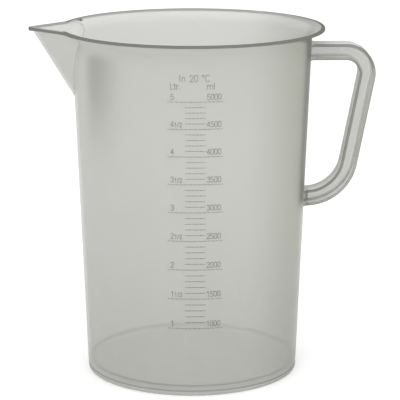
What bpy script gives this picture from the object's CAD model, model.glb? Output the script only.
import math

import bmesh
import bpy
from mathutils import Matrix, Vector


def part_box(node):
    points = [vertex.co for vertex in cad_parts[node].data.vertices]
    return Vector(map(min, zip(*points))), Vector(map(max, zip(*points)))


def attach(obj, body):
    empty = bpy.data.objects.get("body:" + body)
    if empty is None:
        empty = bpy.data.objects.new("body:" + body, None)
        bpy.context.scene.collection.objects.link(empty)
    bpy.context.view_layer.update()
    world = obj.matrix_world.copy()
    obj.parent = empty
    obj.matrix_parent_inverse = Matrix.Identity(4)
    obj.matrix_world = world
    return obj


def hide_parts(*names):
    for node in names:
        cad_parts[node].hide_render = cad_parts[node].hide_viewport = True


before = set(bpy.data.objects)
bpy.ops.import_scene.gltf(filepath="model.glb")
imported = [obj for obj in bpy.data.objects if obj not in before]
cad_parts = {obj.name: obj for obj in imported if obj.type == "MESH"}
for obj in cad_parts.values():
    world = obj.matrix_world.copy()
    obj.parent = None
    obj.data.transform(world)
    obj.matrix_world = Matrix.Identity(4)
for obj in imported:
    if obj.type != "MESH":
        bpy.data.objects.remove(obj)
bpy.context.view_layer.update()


def clearSelection():
    if bpy.context.object and bpy.context.object.mode != "OBJECT":
        bpy.ops.object.mode_set(mode="OBJECT")
    bpy.ops.object.select_all(action="DESELECT")


def only(piece):
    clearSelection()
    piece.select_set(True)
    bpy.context.view_layer.objects.active = piece


def edit(piece):
    only(piece)
    bpy.ops.object.mode_set(mode="EDIT")
    bpy.ops.mesh.select_mode(type="VERT")


def pick(piece, kind, test):  # selects verts or edges by their place, in edit mode
    bpy.ops.mesh.select_all(action="DESELECT")
    bpy.ops.mesh.select_mode(type={"verts": "VERT", "edges": "EDGE"}[kind])
    mesh = bmesh.from_edit_mesh(piece.data)
    found = 0
    for element in getattr(mesh, kind):
        if test(element):
            element.select_set(True)
            found += 1
    mesh.select_flush_mode()
    bmesh.update_edit_mesh(piece.data)
    return found


def boolean(piece, tool, operation):
    cut = piece.modifiers.new("cut", "BOOLEAN")
    cut.operation = operation
    cut.solver = "EXACT"
    cut.object = tool
    only(piece)
    bpy.ops.object.modifier_apply(modifier="cut")
    bpy.data.objects.remove(tool)


def startVertex(name, place):  # a single vertex, from which a profile is drawn by extruding
    clearSelection()
    bpy.ops.mesh.primitive_plane_add(size=0.01)
    piece = bpy.context.object
    piece.name = name
    piece.data.name = name
    edit(piece)
    bpy.ops.mesh.select_all(action="SELECT")
    bpy.ops.mesh.merge(type="CENTER")
    bpy.ops.transform.translate(value=place)
    return piece


def drawProfile(name, points):  # leaves the piece in edit mode, all selected
    piece = startVertex(name, points[0])
    for here, there in zip(points, points[1:]):
        step = Vector(there) - Vector(here)
        bpy.ops.mesh.extrude_vertices_move(TRANSFORM_OT_translate={"value": step})
    bpy.ops.mesh.select_all(action="SELECT")
    return piece


def pushTo(value):  # extrudes the selected faces or profile by a step
    bpy.ops.mesh.extrude_region_move(TRANSFORM_OT_translate={"value": value})


def cleanUp(gap=1e-6):  # closes the edit of a mesh: near points merged, faces turned outwards
    bpy.ops.mesh.select_all(action="SELECT")
    bpy.ops.mesh.remove_doubles(threshold=gap)
    bpy.ops.mesh.dissolve_degenerate(threshold=gap)
    bpy.ops.mesh.normals_make_consistent(inside=False)
    bpy.ops.object.mode_set(mode="OBJECT")


def turned(name, points, steps):  # a profile in the XZ plane, spun about Z
    piece = drawProfile(name, points)
    bpy.ops.mesh.spin(steps=steps, angle=2 * math.pi, center=(0, 0, 0), axis=(0, 0, 1))
    cleanUp()
    return piece


def curve(centre, radius, first, last, count):  # points of an arc, in the plane of its centre
    points = []
    for i in range(count + 1):
        angle = math.radians(first + (last - first) * i / count)
        points.append((centre[0] + radius * math.cos(angle), centre[1] + radius * math.sin(angle)))
    return points


def upright(points):  # plane points stood up in the XZ plane
    return [(x, 0, z) for x, z in points]


def smooth(piece, degrees):
    only(piece)
    bpy.ops.object.shade_smooth_by_angle(angle=math.radians(degrees))


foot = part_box("foot_ring")
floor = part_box("base_floor")
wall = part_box("vessel_wall")
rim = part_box("rim_flare")
slope = (wall[1].y - foot[1].y) / (wall[1].z - foot[1].z)
top = rim[1].z
rimRadius = rim[1].y

vesselShape = {
    "wall": 0.0020,
    "cove": 0.0030,
    "coveSteps": 6,
    "footThickness": 0.0034,
    "footRound": 0.0012,
    "footSteps": 5,
    "recessRound": 0.0005,
    "recessFoot": ((0.0002, 0.0003), (0.0006, 0)),  # the foot's inner corner: outwards and up
    "grooveHigh": 0.0044,  # a shallow line round the foot
    "grooveDeep": 0.00015,
    "grooveSide": 0.0002,
    "flareRadius": 0.0095,
    "flareEnd": 84,
    "flareSteps": 10,
    "flareRise": 0.0015,  # a straight end that carries the hollow past the rim
    "hollowAbove": 0.02,
    "edgeRound": 0.0005,
    "edgeSteps": 3,
    "edgeBand": 0.0036,
    "around": 256,
    "wallBands": 14,
    "smoothAngle": 28,
    "mergeGap": 5e-6,
}


def outerRadius(z):
    return foot[1].y + (z - foot[1].z) * slope


def innerRadius(z):
    return outerRadius(z) - vesselShape["wall"]


flareFoot = wall[1].z
flareCentre = innerRadius(flareFoot) + vesselShape["flareRadius"]


def wallHeights(low, high):
    bands = vesselShape["wallBands"]
    return [low + (high - low) * i / bands for i in range(bands + 1)]


def innerSide(shape):  # from the floor's middle up past the end of the flare
    coveTop = floor[1].z + shape["cove"]
    coveX = innerRadius(coveTop) - shape["cove"]
    points = [(0, floor[1].z), (coveX / 2, floor[1].z)]
    points += curve((coveX, coveTop), shape["cove"], -90, 0, shape["coveSteps"])
    points += [(innerRadius(z), z) for z in wallHeights(coveTop, flareFoot)[1:-1]]
    flare, flareEnd = (flareCentre, flareFoot), shape["flareEnd"]
    points += curve(flare, shape["flareRadius"], 180, flareEnd, shape["flareSteps"])
    rise, above = shape["flareRise"], top + shape["hollowAbove"]
    out = points[-1][0] + rise * math.tan(math.radians(flareEnd))
    return points + [(out, points[-1][1] + rise), (out, above), (0, above)]


def outerSide(shape):  # from the underside's middle, round the foot, to the middle of the top
    recess = foot[1].y - shape["footThickness"]
    groove, deep, side = shape["grooveHigh"], shape["grooveDeep"], shape["grooveSide"]
    footEdge = (outerRadius(0) - shape["footRound"], shape["footRound"])
    under = top - shape["wall"]
    r, corner = shape["edgeRound"], shape["recessRound"]
    points = [(0, floor[0].z), (recess / 2, floor[0].z)]
    points += [(recess - corner, floor[0].z), (recess, floor[0].z - corner)]
    points += [(recess + out, up) for out, up in shape["recessFoot"]]
    points += curve(footEdge, shape["footRound"], -90, 0, shape["footSteps"])
    points += [(outerRadius(foot[1].z), foot[1].z)]
    points += [(outerRadius(foot[1].z) - deep, foot[1].z + side)]
    points += [(outerRadius(groove) - deep, groove - side)]
    points += [(outerRadius(z), z) for z in wallHeights(groove, flareFoot)[:-1]]
    flare = (flareCentre, flareFoot)
    points += curve(flare, shape["flareRadius"] - shape["wall"], 180, 90, shape["flareSteps"])
    points += curve((rimRadius - r, under + r), r, -90, 0, shape["edgeSteps"])
    points += curve((rimRadius - r, top - r), r, 0, 90, shape["edgeSteps"])
    return points + [(rimRadius - shape["edgeBand"], top), (0, top)]


spoutShape = {
    "overhang": 0.0225,
    "halfAngle": 46.0,
    "keelAngle": 31.3,
    "wall": 0.0020,
    "keelRound": 0.0026,
    "innerRound": 0.0008,
    "keelSteps": 6,
    "keelShare": 0.9,  # of the round, the part that the bevel takes from each side
    "onMiddle": 1e-7,
    "wedgeBack": 0.6,  # of the rim's radius, how far back the wedge starts
    "underTop": 0.00001,  # keeps the wedge's top off the plane of the rim
    "cutAbove": 0.006,
    "lipOverhang": 0.0016,
    "lipDepth": 0.0022,
    "lipUnderTop": 0.000015,
    "lipBlend": 0.0070,
    "lipBite": 0.0003,
    "lipRound": 0.0004,
    "lipRoundSteps": 2,
    "samePlace": 1e-6,
    "noseSteps": 5,
    "sideSteps": (0.0015, 0.003, 0.005, 0.008),
    "blendSteps": 8,
    "tuck": 0.985,  # of the rim's radius, where the bead's plan ends inside the rim
    "underLip": 0.001,
    "beakDrop": 0.0006,
    "beakSteps": ((0.0035, 0.45), (0.0025, 0.3), (0.0015, 0.25)),
    "seam": 0.00028,
    "seamSteps": 2,
    "seamAngle": 8,
    "seamGap": 6e-5,
    "seamFrom": -0.05,
    "seamUnder": 0.0004,
    "keelFrom": -0.07,
    "keelHalf": 0.0030,
}
opening = math.radians(spoutShape["halfAngle"])
along = Vector((math.cos(opening), math.sin(opening)))
keelSlope = math.tan(math.radians(spoutShape["keelAngle"]))
tipReach = rimRadius + spoutShape["overhang"]


def makeWedge(name, shape, setIn, keelRound, above):  # the V of the spout as a solid
    shift = setIn * math.sqrt(1 + (keelSlope * along.y) ** 2) / along.y
    tip = tipReach - shift + above * keelSlope
    back = shape["wedgeBack"] * rimRadius
    half = (tip - back) * math.tan(opening)
    corners = [(-tip, 0, top + above), (-back, half, top + above), (-back, -half, top + above)]
    lowest = Vector((-back, 0, top + above - (tip - back) / keelSlope))
    down = Vector((0, 0, -0.01))  # a first step, before the three lower corners are merged
    piece = drawProfile(name, corners)
    bpy.ops.mesh.edge_face_add()
    pushTo(down)
    bpy.ops.mesh.merge(type="CENTER")
    middle = (Vector(corners[0]) + Vector(corners[1]) + Vector(corners[2])) / 3
    bpy.ops.transform.translate(value=lowest - middle - down)
    pick(piece, "edges", lambda e: all(abs(v.co.y) < shape["onMiddle"] for v in e.verts))
    width = keelRound * shape["keelShare"]
    bpy.ops.mesh.bevel(offset_type="OFFSET", offset=width, segments=shape["keelSteps"])
    cleanUp()
    return piece


def lipPlan(shape):  # half of the bead's outline, from its nose to the rim
    nose = shape["keelRound"] + shape["lipOverhang"]
    blend = shape["lipBlend"]
    apex = -tipReach - shape["lipOverhang"] / along.y
    noseCentre = (apex + nose / along.y, 0)
    points = curve(noseCentre, nose, 180, 90 + shape["halfAngle"], shape["noseSteps"])
    noseEnd = Vector(points[-1])
    points += [tuple(noseEnd + along * step) for step in shape["sideSteps"]]
    start = Vector((apex - blend * along.y, blend * along.x))  # the blend's centre slides from here
    reach = rimRadius + blend - shape["lipBite"]
    lead = start.dot(along)
    run = -lead - math.sqrt(lead * lead - (start.length_squared - reach * reach))
    centre = start + run * along
    rimPoint = centre * (1 - blend / reach)
    first = math.degrees(math.atan2(-along.x, along.y))
    last = math.degrees(math.atan2(rimPoint.y - centre.y, rimPoint.x - centre.x))
    points += curve(centre, blend, first, last, shape["blendSteps"])
    return points + [tuple(rimPoint * shape["tuck"])]


def makeLip(shape):
    half = lipPlan(shape)
    outline = half[::-1] + [(x, -y) for x, y in half[1:]]
    high = top - shape["lipUnderTop"]
    piece = drawProfile("spout_lip", [(x, y, high) for x, y in outline])
    bpy.ops.mesh.edge_face_add()
    pushTo((0, 0, -shape["lipDepth"]))
    cleanUp()
    edit(piece)
    pick(piece, "edges", lambda e: abs(e.verts[0].co.z - e.verts[1].co.z) < shape["samePlace"]
         and all(v.co.xy.length > rimRadius - vesselShape["edgeRound"] for v in e.verts))
    bpy.ops.mesh.bevel(
        offset_type="OFFSET", offset=shape["lipRound"], segments=shape["lipRoundSteps"])
    tip = min(x for x, _ in half)
    for reach, share in shape["beakSteps"]:
        pick(piece, "verts", lambda v: v.co.z < top - shape["underLip"] and v.co.x < tip + reach)
        bpy.ops.transform.translate(value=(0, 0, -shape["beakDrop"] * share))
    cleanUp()
    return piece


def makeVessel(shape):  # the outside as one solid, then the hollow and the spout's inside cut out
    around = vesselShape["around"]
    jug = turned("jug_moulding", upright(outerSide(vesselShape)), around)
    print("outside turned:", len(jug.data.vertices), "vertices")
    outside = makeWedge("spout_outside", shape, 0, shape["keelRound"], -shape["underTop"])
    boolean(jug, outside, "UNION")
    boolean(jug, makeLip(shape), "UNION")
    boolean(jug, turned("hollow", upright(innerSide(vesselShape)), around), "DIFFERENCE")
    inside = makeWedge(
        "spout_inside", shape, shape["wall"], shape["innerRound"], shape["cutAbove"])
    boolean(jug, inside, "DIFFERENCE")
    edit(jug)
    cleanUp(vesselShape["mergeGap"])
    print("hollow and spout cut:", len(jug.data.vertices), "vertices")
    return jug


def sideDistance(place):  # how far a point stands outside the spout's side plane
    normal = Vector((-along.y, along.x, -along.y * keelSlope)).normalized()
    return normal.dot(Vector((place.x, abs(place.y), place.z)) - Vector((-tipReach, 0, top)))


def onShell(place):  # True on the vessel's outer or inner surface
    radius = place.xy.length
    if place.z < flareFoot:
        gaps = (radius - outerRadius(place.z), radius - innerRadius(place.z))
    else:
        reach = math.hypot(radius - flareCentre, place.z - flareFoot)
        full = vesselShape["flareRadius"]
        gaps = (reach - full, reach - full + vesselShape["wall"])
    return min(abs(gap) for gap in gaps) < spoutShape["seamGap"]


def onSpout(place):  # True on the spout's sides or its rounded keel
    away = sideDistance(place)
    near = min(abs(away), abs(away + spoutShape["wall"])) < spoutShape["seamGap"]
    onKeel = abs(place.y) < spoutShape["keelHalf"] and place.x < spoutShape["keelFrom"]
    return near or onKeel


def isSeam(edge):  # an edge where the spout meets the wall or the flare
    shallow = math.radians(spoutShape["seamAngle"])
    if len(edge.link_faces) != 2 or edge.calc_face_angle(0) < shallow:
        return False
    places = [v.co for v in edge.verts]
    first, high = spoutShape["seamFrom"], top - spoutShape["seamUnder"]
    return all(p.x < first and onShell(p) and onSpout(p) and p.z < high for p in places)


jugTones = ("body", "rim edge", "foot line", "floor", "seam", "inside", "floor corner")
toneLimits = {  # where each of the jug's finishes begins and ends
    "rimDeep": 0.0032,
    "rimFlat": 0.0010,
    "rimSide": 0.0012,
    "rimOut": 0.0002,
    "lipBehind": -0.085,
    "lipSide": (0.0004, 0.0040),
    "lipSlope": 0.96,
    "lipDeep": 0.0025,
    "skin": 0.0004,
    "floorGap": 0.0002,
    "floorIn": 0.003,
    "cornerUnder": 0.0001,
    "cornerHigh": 0.0024,
    "cornerIn": 0.006,
}


def onLip(place, normal, limits):
    near, far = limits["lipSide"]
    beside = place.x < limits["lipBehind"] and near < sideDistance(place) < far
    return beside and abs(normal.z) < limits["lipSlope"] and place.z > top - limits["lipDeep"]


def onRimEdge(place, limits):
    radius = place.xy.length
    if not rimRadius - vesselShape["edgeBand"] < radius < rimRadius + limits["rimOut"]:
        return False
    return place.z > top - limits["rimFlat"] or radius > rimRadius - limits["rimSide"]


def jugTone(place, normal, limits):  # which of the jug's finishes a face wears
    radius, skin, gap = place.xy.length, limits["skin"], limits["floorGap"]
    floorTop = floor[1].z
    if place.z > top - limits["rimDeep"]:
        if onRimEdge(place, limits) or onLip(place, normal, limits):
            return "rim edge"
    if foot[1].z < place.z < vesselShape["grooveHigh"] and radius > outerRadius(place.z) - skin:
        return "foot line"
    onFloor = floor[0].z - gap < place.z < floorTop + gap
    if onFloor and radius < floor[1].y - limits["floorIn"]:
        return "floor"
    inCorner = floorTop - limits["cornerUnder"] < place.z < floorTop + limits["cornerHigh"]
    if inCorner and floor[1].y - limits["cornerIn"] < radius < innerRadius(place.z) + skin:
        return "floor corner"
    return "inside" if normal.x * place.x + normal.y * place.y < 0 else "body"


def giveTones(piece, tones, choose, limits):  # one empty slot per tone, filled by the finishes
    for _ in tones:
        piece.data.materials.append(None)
    for face in piece.data.polygons:
        face.material_index = tones.index(choose(face.center, face.normal, limits))


jug = makeVessel(spoutShape)
giveTones(jug, jugTones, jugTone, toneLimits)
edit(jug)
seams = pick(jug, "edges", isSeam)
bpy.ops.mesh.bevel(offset_type="OFFSET", offset=spoutShape["seam"],
                   segments=spoutShape["seamSteps"], material=jugTones.index("seam"))
cleanUp()
print("seams of the spout rounded:", seams, "edges")
smooth(jug, vesselShape["smoothAngle"])
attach(jug, "root")
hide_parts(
    "vessel_wall", "base_floor", "foot_ring", "rim_flare", "pouring_spout", "spout_lip")

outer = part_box("handle_outer_flange")
handleShape = {
    "band": 0.0124,
    "width": 0.0180,
    "flange": 0.0022,
    "web": 0.0028,
    "flangeRound": 0.0006,
    "roundSteps": 3,
    "webCorner": 0.0012,
    "cornerSteps": 4,
    "ridge": 0.00018,  # a fine line along the web, beside the outer flange
    "ridgeDepths": (0.0040, 0.0042, 0.0046, 0.0048),
    "upperBend": 0.0230,
    "lowerBend": 0.0400,
    "lean": 10.8,
    "bendSteps": 28,
    "flangeRoot": 0.0050,
    "webRoot": 0.0030,
    "rootSteps": 6,
    "rootLead": 0.008,  # how far inside the wall the roots start
    "rootSpare": 0.001,
    "webZone": (0.0005, 0.0028),  # the corners at this distance from the middle belong to the web
    "sameX": 2e-6,
    "leastGrowth": 1.0001,
    "bite": 0.0003,
    "seatSpare": (0.02, 0.01),  # how far the seat goes on below and above the handle
    "padLength": 0.0180,
    "padHeight": 0.0062,
    "padRelief": 0.0004,
    "padFromWall": 0.0046,
    "padAcross": 1e-4,  # an edge longer than this across the handle is one of the pad's corners
    "padOnFace": 1e-6,
    "padRound": 0.0008,
    "padRoundSteps": 3,
    "padEdge": 0.00015,
    "padEdgeSteps": 2,
    "smoothAngle": 35,
}


def sectionHalf(shape):  # the H section for positive y: depth from the outside, and y
    half, web = shape["width"] / 2, shape["web"] / 2
    thick, deep = shape["flange"], shape["band"]
    r, corner = shape["flangeRound"], shape["webCorner"]
    steps, cornerSteps = shape["roundSteps"], shape["cornerSteps"]
    points = [(0, 0)] + curve((r, half - r), r, 180, 90, steps)
    points += curve((thick - r, half - r), r, 90, 0, steps)
    points += curve((thick + corner, web + corner), corner, 180, 270, cornerSteps)
    before, start, end, after = shape["ridgeDepths"]
    high = web + shape["ridge"]
    points += [(before, web), (start, high), (end, high), (after, web)]
    points += curve((deep - thick - corner, web + corner), corner, 270, 360, cornerSteps)
    points += curve((deep - thick + r, half - r), r, 180, 90, steps)
    return points + curve((deep - r, half - r), r, 90, 0, steps) + [(deep, 0)]


def rootEnds(wallRadius, half, fillet):  # x where a root's fillet begins, and x at the wall
    reach = wallRadius + fillet - handleShape["bite"]
    centre = math.sqrt(reach**2 - (half + fillet) ** 2)
    return centre, centre * (1 - fillet / reach)


def rootWidth(x, wallRadius, half, fillet):  # half the width of a plate that widens to the wall
    centre, wallX = rootEnds(wallRadius, half, fillet)
    if x >= centre:
        return half
    return half + fillet - math.sqrt(fillet**2 - (centre - max(x, wallX)) ** 2)


def rootStations(wallRadius, shape):  # x of the sections between the wall and the plain arm
    centre, wallX = rootEnds(wallRadius, shape["width"] / 2, shape["flangeRoot"])
    steps = shape["rootSteps"]
    shares = [math.sin(math.pi / 2 * i / steps) for i in range(steps + 1)]
    return [wallX - shape["rootLead"]] + [wallX + (centre - wallX) * share for share in shares]


def widenRoot(piece, stations, low, high, wallRadius, shape):
    half, web = shape["width"] / 2, shape["web"] / 2
    near, far = shape["webZone"]
    zones = ((far, math.inf, half, shape["flangeRoot"]), (near, far, web, shape["webRoot"]))
    for x in stations:
        for start, end, width, fillet in zones:
            grown = rootWidth(x, wallRadius, width, fillet) / width
            pick(piece, "verts", lambda v: abs(v.co.x - x) < shape["sameX"]
                 and low < v.co.z < high and start < abs(v.co.y) < end)
            if grown > shape["leastGrowth"]:
                bpy.ops.transform.resize(value=(1, grown, 1), center_override=(x, 0, low))


def bendCentres(shape):  # the middles of the handle's upper and lower bends
    lean = math.radians(shape["lean"])
    upper = Vector((outer[1].x - shape["upperBend"], 0, outer[1].z - shape["upperBend"]))
    lowerZ = outer[0].z + shape["lowerBend"]
    bendGap = shape["upperBend"] - shape["lowerBend"]
    lowerX = upper.x + (bendGap + (lowerZ - upper.z) * math.sin(lean)) / math.cos(lean)
    return upper, Vector((lowerX, 0, lowerZ))


def depthInside(place, shape):  # how far a place is inside the handle's outer line
    upper, lower = bendCentres(shape)
    lean = math.radians(shape["lean"])
    down = Vector((-math.sin(lean), 0, -math.cos(lean)))
    out = Vector((math.cos(lean), 0, -math.sin(lean)))
    flat = Vector((place.x, 0, place.z))
    if flat.z > upper.z and flat.x <= upper.x:
        return outer[1].z - flat.z
    if flat.z < lower.z and flat.x <= lower.x:
        return flat.z - outer[0].z
    if (flat - upper).dot(down) < 0:
        return shape["upperBend"] - (flat - upper).length
    if (flat - lower).dot(down) > 0:
        return shape["lowerBend"] - (flat - lower).length
    return shape["upperBend"] - (flat - upper).dot(out)


def makeHandle(shape):
    high, low = outer[1].z, outer[0].z
    band = shape["band"]
    lean = math.radians(shape["lean"])
    upper, lower = bendCentres(shape)
    bendGap = shape["upperBend"] - shape["lowerBend"]
    upperRoot = rootStations(outerRadius(high - band), shape)
    lowerRoot = rootStations(outerRadius(low), shape)
    half = sectionHalf(shape)
    section = half + [(depth, -y) for depth, y in half[-2:0:-1]]
    places = [(upperRoot[0], y, high - depth) for depth, y in section]
    piece = drawProfile("handle_moulding", places)
    bpy.ops.mesh.edge_face_add()
    for here, there in zip(upperRoot, upperRoot[1:] + [upper.x]):
        pushTo((there - here, 0, 0))
    turn = math.pi / 2 + lean
    bpy.ops.mesh.spin(steps=shape["bendSteps"], angle=-turn, center=upper, axis=(0, 1, 0))
    leg = (lower - upper).length ** 2 - bendGap**2
    pushTo(Vector((-math.sin(lean), 0, -math.cos(lean))) * math.sqrt(leg))
    turn = math.pi / 2 - lean
    bpy.ops.mesh.spin(steps=shape["bendSteps"], angle=-turn, center=lower, axis=(0, 1, 0))
    inward = [lower.x] + lowerRoot[::-1]
    for here, there in zip(inward, inward[1:]):
        pushTo((there - here, 0, 0))
    cleanUp()
    edit(piece)
    spare = shape["rootSpare"]
    widenRoot(piece, upperRoot, high - band - spare, high + spare, outerRadius(high - band), shape)
    widenRoot(piece, lowerRoot, low - spare, low + band + spare, outerRadius(low), shape)
    cleanUp()
    print("handle swept:", len(piece.data.vertices), "vertices")
    return piece


def makePad(shape):  # the blank raised pads on both sides of the web, as one bar through it
    clearSelection()
    bpy.ops.mesh.primitive_cube_add(size=1)
    pad = bpy.context.object
    pad.name = "pad"
    edit(pad)
    long, tall = shape["padLength"], shape["padHeight"]
    deep = shape["web"] + 2 * shape["padRelief"]
    bpy.ops.transform.resize(value=(long, deep, tall))
    start = outerRadius(outer[1].z) + shape["padFromWall"]
    bpy.ops.transform.translate(value=(start + long / 2, 0, outer[1].z - shape["band"] / 2))
    pick(pad, "edges", lambda e: abs(e.verts[0].co.y - e.verts[1].co.y) > shape["padAcross"])
    bpy.ops.mesh.bevel(
        offset_type="OFFSET", offset=shape["padRound"], segments=shape["padRoundSteps"])
    onFace = shape["padOnFace"]
    pick(pad, "edges", lambda e: all(abs(abs(v.co.y) - deep / 2) < onFace for v in e.verts))
    bpy.ops.mesh.bevel(
        offset_type="OFFSET", offset=shape["padEdge"], segments=shape["padEdgeSteps"])
    cleanUp()
    return pad


def makeSeat(shape):  # the vessel's body, on which the handle's roots end
    below, above = shape["seatSpare"]
    low, high = outer[0].z - below, outer[1].z + above
    sides = [(outerRadius(z) - shape["bite"], z) for z in (low, high)]
    return turned("seat", upright([(0, low)] + sides + [(0, high)]), vesselShape["around"])


handleTones = ("handle", "flange edge", "web line", "flange corner", "flange face", "flange side")
handleLimits = {  # where each of the handle's finishes begins and ends
    "topLift": 0.004,
    "flangeFrom": 0.0083,
    "sideways": 0.25,
    "edgeOn": 0.5,
    "outwards": 0.5,
    "cornerDeep": 0.0009,
    "pastRoot": 0.006,
    "webLine": (0.0014, 0.0028),
    "webFlat": 0.97,
}


def handleTone(place, normal, limits):  # which of the handle's finishes a face wears
    sideways, band, corner = abs(normal.y), handleShape["band"], limits["cornerDeep"]
    depth = depthInside(place, handleShape)
    onInner = depth > band / 2
    onTop = place.z > bendCentres(handleShape)[0].z + limits["topLift"]
    if abs(place.y) > limits["flangeFrom"] and sideways > limits["sideways"]:
        if onInner != onTop:
            return "flange edge" if sideways > limits["edgeOn"] or place.y < 0 else "flange face"
        return "flange corner" if depth < corner or depth > band - corner else "flange side"
    if sideways < limits["sideways"]:
        return "handle" if normal.x > limits["outwards"] and not onInner else "flange face"
    near, far = limits["webLine"]
    pastRoot = place.x > outerRadius(place.z) + limits["pastRoot"]
    if pastRoot and near < abs(place.y) < far and sideways < limits["webFlat"]:
        return "web line"
    return "handle"


handle = makeHandle(handleShape)
boolean(handle, makePad(handleShape), "UNION")
boolean(handle, makeSeat(handleShape), "DIFFERENCE")
giveTones(handle, handleTones, handleTone, handleLimits)
smooth(handle, handleShape["smoothAngle"])
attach(handle, "root")
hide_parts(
    "handle_outer_flange", "handle_web", "handle_inner_flange", "handle_marking_pads")
print("handle seated:", len(handle.data.vertices), "vertices")


def socket(group, name, direction, kind, default=None):
    made = group.interface.new_socket(name=name, in_out=direction, socket_type=kind)
    if default is not None:
        made.default_value = default
    return made


def mathNode(tree, operation, *sources):  # numbers go on the sockets, outputs are linked
    node = tree.nodes.new("ShaderNodeMath")
    node.operation = operation
    for i, source in enumerate(sources):
        if isinstance(source, (int, float)):
            node.inputs[i].default_value = source
        else:
            tree.links.new(source, node.inputs[i])
    return node.outputs["Value"]


def rampNode(tree, source, start, end):  # 0 before start, 1 past end
    node = tree.nodes.new("ShaderNodeMapRange")
    node.interpolation_type = "SMOOTHSTEP"
    node.inputs["From Min"].default_value = start
    node.inputs["From Max"].default_value = end
    tree.links.new(source, node.inputs["Value"])
    return node.outputs["Result"]


flow = {  # where the plastic is thicker or cloudier, in metres
    "cloudScale": 14.0,
    "skinScale": 160.0,
    "detail": 3.0,
    "smear": (-0.084, -0.0745, -0.050),
    "smearFrom": (0.160, 0.245),
    "smearTo": (0.2600, 0.2515),
    "smearFront": (-0.020, -0.040),
    "smearShare": 0.38,
    "rootFrom": (0.060, 0.085),
    "rootHigh": (0.128, 0.140),
    "low": (0.150, 0.0),
    "lowShare": 0.08,
    "high": (0.170, 0.250),
    "highShare": 0.05,
    "side": (0.040, 0.090),
    "sideShare": 0.26,
    "warm": (0.040, 0.080),
    "warmHigh": (0.040, 0.130),
}


def flowGroup(settings):  # clouds, fine skin and thicker places of the moulded plastic
    group = bpy.data.node_groups.new("moulded flow", "ShaderNodeTree")
    socket(group, "Vector", "INPUT", "NodeSocketVector")
    socket(group, "Cloud Scale", "INPUT", "NodeSocketFloat", settings["cloudScale"])
    socket(group, "Skin Scale", "INPUT", "NodeSocketFloat", settings["skinScale"])
    for name in ("Cloud", "Skin", "Shade", "Warmth", "Root"):
        socket(group, name, "OUTPUT", "NodeSocketFloat")
    nodes, links = group.nodes, group.links
    inside = nodes.new("NodeGroupInput")
    outside = nodes.new("NodeGroupOutput")
    for name in ("Cloud", "Skin"):
        noise = nodes.new("ShaderNodeTexNoise")
        noise.inputs["Detail"].default_value = settings["detail"]
        links.new(inside.outputs["Vector"], noise.inputs["Vector"])
        links.new(inside.outputs[name + " Scale"], noise.inputs["Scale"])
        links.new(noise.outputs["Fac"], outside.inputs[name])
    place = nodes.new("ShaderNodeSeparateXYZ")
    links.new(inside.outputs["Vector"], place.inputs["Vector"])

    def ramp(source, *limits):
        return rampNode(group, source, *limits)

    def combine(operation, *sources):
        return mathNode(group, operation, *sources)

    x, z = place.outputs["X"], place.outputs["Z"]
    left, middle, right = settings["smear"]
    smear = combine("MULTIPLY", ramp(x, left, middle), ramp(x, right, middle))
    smear = combine("MULTIPLY", smear, ramp(z, *settings["smearFrom"]))
    smear = combine("MULTIPLY", smear, ramp(z, *settings["smearTo"]))
    smear = combine("MULTIPLY", smear, ramp(place.outputs["Y"], *settings["smearFront"]))
    smear = combine("MULTIPLY", smear, settings["smearShare"])
    root = combine("MULTIPLY", ramp(x, *settings["rootFrom"]), ramp(z, *settings["rootHigh"]))
    links.new(root, outside.inputs["Root"])
    low = combine("MULTIPLY", ramp(z, *settings["low"]), settings["lowShare"])
    side = combine("MULTIPLY", ramp(x, *settings["side"]), settings["sideShare"])
    shade = combine("ADD", smear, side)
    high = combine("MULTIPLY", ramp(z, *settings["high"]), settings["highShare"])
    shade = combine("ADD", shade, combine("ADD", low, high))
    links.new(shade, outside.inputs["Shade"])
    warm = combine("MULTIPLY", ramp(x, *settings["warm"]), ramp(z, *settings["warmHigh"]))
    links.new(warm, outside.inputs["Warmth"])
    return group


mouldedFlow = flowGroup(flow)

bodyFinish = {
    "colour": (0.490, 0.494, 0.462, 1),
    "cloudColour": (0.468, 0.472, 0.440, 1),
    "shadeColour": (0.150, 0.152, 0.132, 1),
    "warmColour": (0.475, 0.480, 0.402, 1),
    "cover": 0.46,
    "shadeCover": 0.36,
    "grazing": 0.10,
    "roughness": 0.36,
    "ior": 1.49,
    "specular": 0.06,
    "roughnessSpread": 0.02,
    "facingBlend": 0.5,
    "grazingPower": 4.0,
    "skinStrength": 0.3,
    "skinDepth": 0.00001,
    "strip": 0.70,
    "stripFacing": ((0.62, 0.78), (0.95, 0.87)),
}


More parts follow.
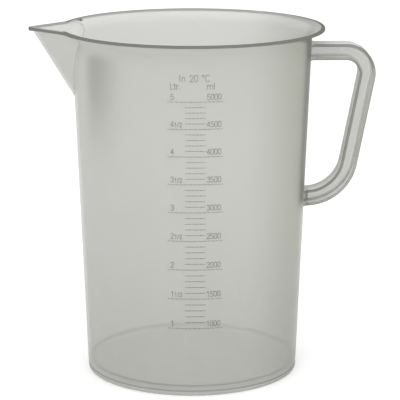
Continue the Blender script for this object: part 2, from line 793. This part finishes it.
def milkyPlastic(name, changes):
    finish = {**bodyFinish, **changes}
    material = bpy.data.materials.new(name)
    material.use_nodes = True
    tree = material.node_tree
    nodes, links = tree.nodes, tree.links
    surface = nodes["Principled BSDF"]
    surface.inputs["IOR"].default_value = finish["ior"]
    surface.inputs["Specular IOR Level"].default_value = finish["specular"]
    place = nodes.new("ShaderNodeTexCoord")
    haze = nodes.new("ShaderNodeGroup")
    haze.node_tree = mouldedFlow
    links.new(place.outputs["Object"], haze.inputs["Vector"])

    def blend(under, over, factor):
        mix = nodes.new("ShaderNodeMix")
        mix.data_type = "RGBA"
        for key, colour in ((6, under), (7, over)):
            if isinstance(colour, tuple):
                mix.inputs[key].default_value = colour
            else:
                links.new(colour, mix.inputs[key])
        links.new(factor, mix.inputs[0])
        return mix.outputs[2]

    edge = nodes.new("ShaderNodeLayerWeight")
    edge.inputs["Blend"].default_value = finish["facingBlend"]
    shade = haze.outputs["Shade"]
    if finish["strip"]:
        strip = haze.outputs["Root"]
        for limits in finish["stripFacing"]:
            window = rampNode(tree, edge.outputs["Facing"], *limits)
            strip = mathNode(tree, "MULTIPLY", window, strip)
        shade = mathNode(tree, "MULTIPLY_ADD", strip, finish["strip"], shade)
        shade.node.use_clamp = True
    tone = blend(finish["colour"], finish["cloudColour"], haze.outputs["Cloud"])
    tone = blend(tone, finish["warmColour"], haze.outputs["Warmth"])
    tone = blend(tone, finish["shadeColour"], shade)
    links.new(tone, surface.inputs["Base Color"])
    gloss = nodes.new("ShaderNodeMapRange")
    gloss.inputs["To Min"].default_value = finish["roughness"] - finish["roughnessSpread"]
    gloss.inputs["To Max"].default_value = finish["roughness"] + finish["roughnessSpread"]
    links.new(haze.outputs["Skin"], gloss.inputs["Value"])
    links.new(gloss.outputs["Result"], surface.inputs["Roughness"])
    bump = nodes.new("ShaderNodeBump")
    bump.inputs["Strength"].default_value = finish["skinStrength"]
    bump.inputs["Distance"].default_value = finish["skinDepth"]
    links.new(haze.outputs["Skin"], bump.inputs["Height"])
    links.new(bump.outputs["Normal"], surface.inputs["Normal"])
    steep = mathNode(tree, "POWER", edge.outputs["Facing"], finish["grazingPower"])
    cover = mathNode(tree, "MULTIPLY_ADD", steep, finish["grazing"], finish["cover"])
    dense = mathNode(tree, "MULTIPLY_ADD", shade, finish["shadeCover"], cover)
    links.new(dense, surface.inputs["Alpha"])
    return material


def plain(colour):  # the same tone all over, for thin edges
    return {key: colour + (1,) for key in ("colour", "cloudColour", "shadeColour", "warmColour")}


def darkEdge(name, colour, cover):  # a thin place that looks darker, with no shine of its own
    dull = {"cover": cover, "shadeCover": 0, "grazing": 0, "specular": 0, "strip": 0}
    return milkyPlastic(name, {**plain(colour), **dull})


bodyPlastic = milkyPlastic("milky polypropylene", {})
insideFinish = {
    **plain((0.640, 0.644, 0.612)),
    "shadeColour": bodyFinish["shadeColour"],
    "strip": 0,
}
insidePlastic = milkyPlastic("milky polypropylene inside", insideFinish)
rimEdge = darkEdge("rim seen edge on", (0.160, 0.168, 0.150), 0.96)
footLine = darkEdge("foot line", (0.24, 0.24, 0.23), 0.66)
floorLine = darkEdge("floor corner", (0.05, 0.05, 0.05), 0.60)
seamPlastic = darkEdge("spout seam", (0.22, 0.22, 0.205), 0.70)
flangeEdge = darkEdge("flange seen edge on", (0.215, 0.218, 0.196), 0.90)
flangeCorner = darkEdge("flange corner", (0.140, 0.142, 0.124), 0.94)
markPlastic = darkEdge("raised marks", (0.05, 0.05, 0.045), 0.21)
floorPlastic = milkyPlastic("floor plastic", {**plain((0.560, 0.564, 0.540)), "cover": 0.42})
handleFinish = {
    **plain((0.500, 0.504, 0.468)),
    "cover": 0.50,
    "shadeCover": 0,
    "strip": 0,
}
handlePlastic = milkyPlastic("handle polypropylene", handleFinish)
faceFinish = {**handleFinish, **plain((0.720, 0.725, 0.690)), "cover": 0.66}
flangeFace = milkyPlastic("flange face", faceFinish)
sideFinish = {**handleFinish, **plain((0.300, 0.303, 0.275)), "cover": 0.78, "specular": 0}
flangeSide = milkyPlastic("flange side", sideFinish)
webLine = milkyPlastic("web corner", {**handleFinish, **plain((0.620, 0.625, 0.580))})
gateFinish = {**plain((0.45, 0.45, 0.43)), "cover": 0.5, "roughness": 0.45, "strip": 0}
gatePlastic = milkyPlastic("gate and badge", gateFinish)

jugMaterials = {
    "body": bodyPlastic,
    "rim edge": rimEdge,
    "foot line": footLine,
    "floor": floorPlastic,
    "seam": seamPlastic,
    "inside": insidePlastic,
    "floor corner": floorLine,
}
handleMaterials = {
    "handle": handlePlastic,
    "flange edge": flangeEdge,
    "web line": webLine,
    "flange corner": flangeCorner,
    "flange face": flangeFace,
    "flange side": flangeSide,
}


def fillSlots(piece, tones, materials):
    for i, tone in enumerate(tones):
        piece.data.materials[i] = materials[tone]


def paint(piece, material):
    piece.data.materials.clear()
    piece.data.materials.append(material)


fillSlots(jug, jugTones, jugMaterials)
fillSlots(handle, handleTones, handleMaterials)
for name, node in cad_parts.items():
    if "lines" in name or "numerals" in name or "heading" in name:
        paint(node, markPlastic)
    elif "gate" in name or "badge" in name:
        paint(node, gatePlastic)
    else:
        paint(node, handlePlastic)
print("finishes given to", len(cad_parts) + 2, "pieces")

studio = {
    "floorSize": 6.0,
    "floorColour": (0.97, 0.97, 0.97, 1),
    "floorGlow": 0.12,
    "floorRoughness": 0.6,
    "floorDrop": 0.0002,
    "world": 1.0,
    "key": ((-0.7, -1.5, 1.8), 1.4, 10),
    "fill": ((1.2, -1.2, 1.2), 1.4, 5),
    "aim": (0, 0, 0.12),
}


def makeStudio(settings):
    clearSelection()
    place = (0, 0, -settings["floorDrop"])
    bpy.ops.mesh.primitive_plane_add(size=settings["floorSize"], location=place)
    ground = bpy.context.object
    ground.name = "studio_floor"
    material = bpy.data.materials.new("pale floor")
    material.use_nodes = True
    surface = material.node_tree.nodes["Principled BSDF"]
    surface.inputs["Base Color"].default_value = settings["floorColour"]
    surface.inputs["Emission Color"].default_value = settings["floorColour"]
    surface.inputs["Emission Strength"].default_value = settings["floorGlow"]
    surface.inputs["Roughness"].default_value = settings["floorRoughness"]
    paint(ground, material)
    world = bpy.data.worlds.new("studio air")
    world.use_nodes = True
    air = world.node_tree.nodes["Background"]
    air.inputs["Color"].default_value = (1, 1, 1, 1)
    air.inputs["Strength"].default_value = settings["world"]
    bpy.context.scene.world = world


def addLamp(name, place, size, power, target):
    clearSelection()
    bpy.ops.object.light_add(type="AREA", location=place)
    lamp = bpy.context.object
    lamp.name = name
    lamp.data.size = size
    lamp.data.energy = power
    aim = Vector(target) - Vector(place)
    lamp.rotation_euler = aim.to_track_quat("-Z", "Y").to_euler()


makeStudio(studio)
addLamp("key", *studio["key"], studio["aim"])
addLamp("fill", *studio["fill"], studio["aim"])
print("studio lit")

view = {
    "distance": 1.4436,  # from the axis, level
    "height": 0.4781,
    "pitch": 13.448,
    "turn": -1.6,
    "focal": 170.57,
    "shift": 0.0201,
    "sensor": 36,
    "clearLayers": 32,  # how many see-through faces a ray may pass
}


def makeCamera(settings):
    turn = math.radians(settings["turn"])
    distance = settings["distance"]
    place = (math.sin(turn) * distance, -math.cos(turn) * distance, settings["height"])
    clearSelection()
    bpy.ops.object.camera_add(location=place)
    camera = bpy.context.object
    camera.rotation_euler = (math.radians(90 - settings["pitch"]), 0, turn)
    camera.data.lens = settings["focal"]
    camera.data.sensor_width = settings["sensor"]
    camera.data.shift_x = settings["shift"]
    bpy.context.scene.camera = camera


makeCamera(view)
bpy.context.scene.view_settings.view_transform = "Standard"
bpy.context.scene.cycles.transparent_max_bounces = view["clearLayers"]
print("camera set")
